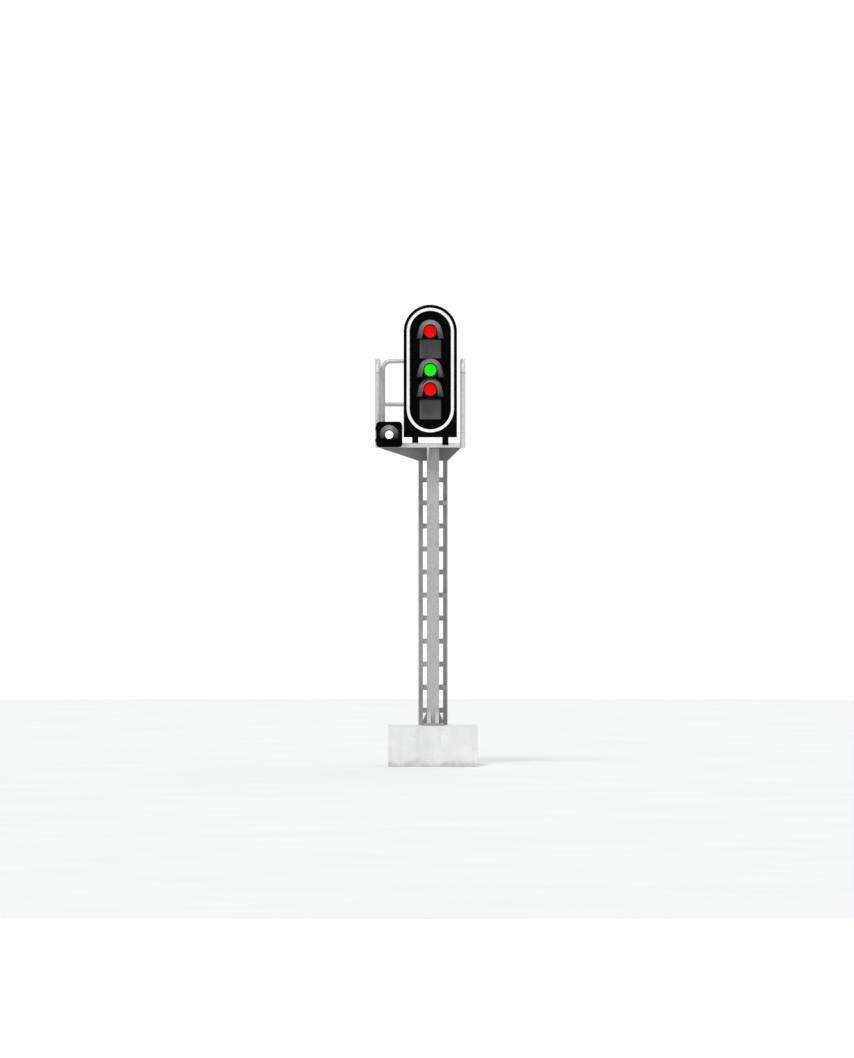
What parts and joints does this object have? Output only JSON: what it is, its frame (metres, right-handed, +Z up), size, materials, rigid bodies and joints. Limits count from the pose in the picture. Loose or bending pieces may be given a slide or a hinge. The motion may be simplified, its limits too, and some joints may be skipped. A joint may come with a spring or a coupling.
{
  "type": "railway signal",
  "caption": "Mast-mounted railway colour-light signal with hooded lamps, a marker box, a railed service platform, a ladder and a concrete base.",
  "frame": {"origin": "centre of the foundation block's underside, on the mast's axis", "axes": "+Z up the mast, -Y towards the driver, +X to the driver's right"},
  "size_m": [1.3264, 1.3225, 5.97],
  "materials": {
    "concrete": "cast concrete, pale grey",
    "duct_plastic": "dark grey plastic pipe",
    "zinc_bolts": "zinc-plated steel",
    "plate_grey": "galvanised and painted, mid grey",
    "mast_grey": "galvanised, dull light grey",
    "pale_grey": "galvanised, pale grey",
    "bracket_grey": "painted, dark grey",
    "ladder_grey": "painted, mid grey",
    "panel_black": "matt black paint",
    "border_white": "white reflective band",
    "rubber_black": "black rubber",
    "blank_grey": "dark grey paint",
    "hood_grey": "grey paint, worn",
    "lens_red": "red signal glass, lit",
    "lens_green": "green signal glass, lit",
    "lens_white": "clear signal glass, lit",
    "reflector": "spun aluminium",
    "ceramic_white": "unglazed lamp ceramic",
    "bulb_glass": "frosted bulb",
    "terminal_plastic": "cream terminal plastic",
    "transformer_paint": "grey-green enamel",
    "cable_black": "black cable sheath",
    "gland_plastic": "dark grey nylon"
  },
  "bodies": {
    "signal": {"foundation_block": "concrete", "cable_duct": "duct_plastic", "anchor_bolts": "zinc_bolts", "anchor_nuts": "zinc_bolts", "base_plate": "plate_grey", "base_gussets": "bracket_grey", "base_wedges": "pale_grey", "mast_beam": "mast_grey", "mast_cap": "mast_grey", "platform_bracket": "bracket_grey", "platform_rib": "pale_grey", "deck_frame": "pale_grey", "deck_joists": "plate_grey", "deck_grating": "mast_grey", "guard_rail_left": "pale_grey", "guard_rail_right": "pale_grey", "guard_rail_rear": "mast_grey", "platform_bolts": "zinc_bolts", "ladder_stiles": "ladder_grey", "ladder_rungs": "ladder_grey", "ladder_brackets": "ladder_grey", "ladder_cleats": "ladder_grey", "ladder_bolts": "zinc_bolts", "target_panel": "panel_black", "target_border": "border_white", "upright_left": "panel_black", "upright_right": "panel_black", "upright_bolts": "panel_black", "casing_back": "panel_black", "head_casing": "panel_black", "casing_rim": "panel_black", "door_seal": "rubber_black", "door_hinge_pins": "zinc_bolts", "hood_upper": "hood_grey", "hood_middle": "hood_grey", "hood_lower": "hood_grey", "lens_upper": "lens_red", "lens_middle": "lens_green", "lens_lower": "lens_red", "lens_bezels": "rubber_black", "blanking_plates": "blank_grey", "lamp_housings": "reflector", "lamp_holders": "ceramic_white", "lamp_bulbs": "bulb_glass", "terminal_block": "terminal_plastic", "transformers": "transformer_paint", "wiring_loom": "cable_black", "cable_gland": "gland_plastic", "marker_bracket": "panel_black", "marker_swivel_pin": "zinc_bolts"},
    "casing_door": {"casing_door": "panel_black"},
    "door_handle_upper": {"door_handle_upper": "zinc_bolts"},
    "door_handle_lower": {"door_handle_lower": "zinc_bolts"},
    "marker_box": {"marker_casing": "panel_black", "marker_rim": "panel_black", "marker_hinge_pins": "zinc_bolts"},
    "marker_door": {"marker_door": "panel_black", "marker_hood": "hood_grey", "marker_lens": "lens_white"},
    "marker_latch": {"marker_latch": "panel_black"}
  },
  "joints": [
    {"name": "casing_door_hinge", "type": "hinge", "parent": "signal", "child": "casing_door", "pos_m": [-0.2425, -0.188, 5.05], "axis": [0, 0, 1], "range_deg": [0, 110]},
    {"name": "upper_handle_turn", "type": "hinge", "parent": "casing_door", "child": "door_handle_upper", "pos_m": [0.125, -0.165, 5.5], "axis": [0, -1, 0], "range_deg": [0, 90]},
    {"name": "lower_handle_turn", "type": "hinge", "parent": "casing_door", "child": "door_handle_lower", "pos_m": [0.125, -0.165, 4.65], "axis": [0, -1, 0], "range_deg": [0, 90]},
    {"name": "marker_swivel", "type": "hinge", "parent": "signal", "child": "marker_box", "pos_m": [-0.566, -0.398, 4.28], "axis": [0, 0, 1], "range_deg": [-10, 10]},
    {"name": "marker_door_hinge", "type": "hinge", "parent": "marker_box", "child": "marker_door", "pos_m": [-0.7407, -0.5635, 4.29], "axis": [0, 0, -1], "range_deg": [0, 110]},
    {"name": "marker_latch_turn", "type": "hinge", "parent": "marker_door", "child": "marker_latch", "pos_m": [-0.44, -0.585, 4.217], "axis": [0, -1, 0], "range_deg": [0, 90]}
  ]
}
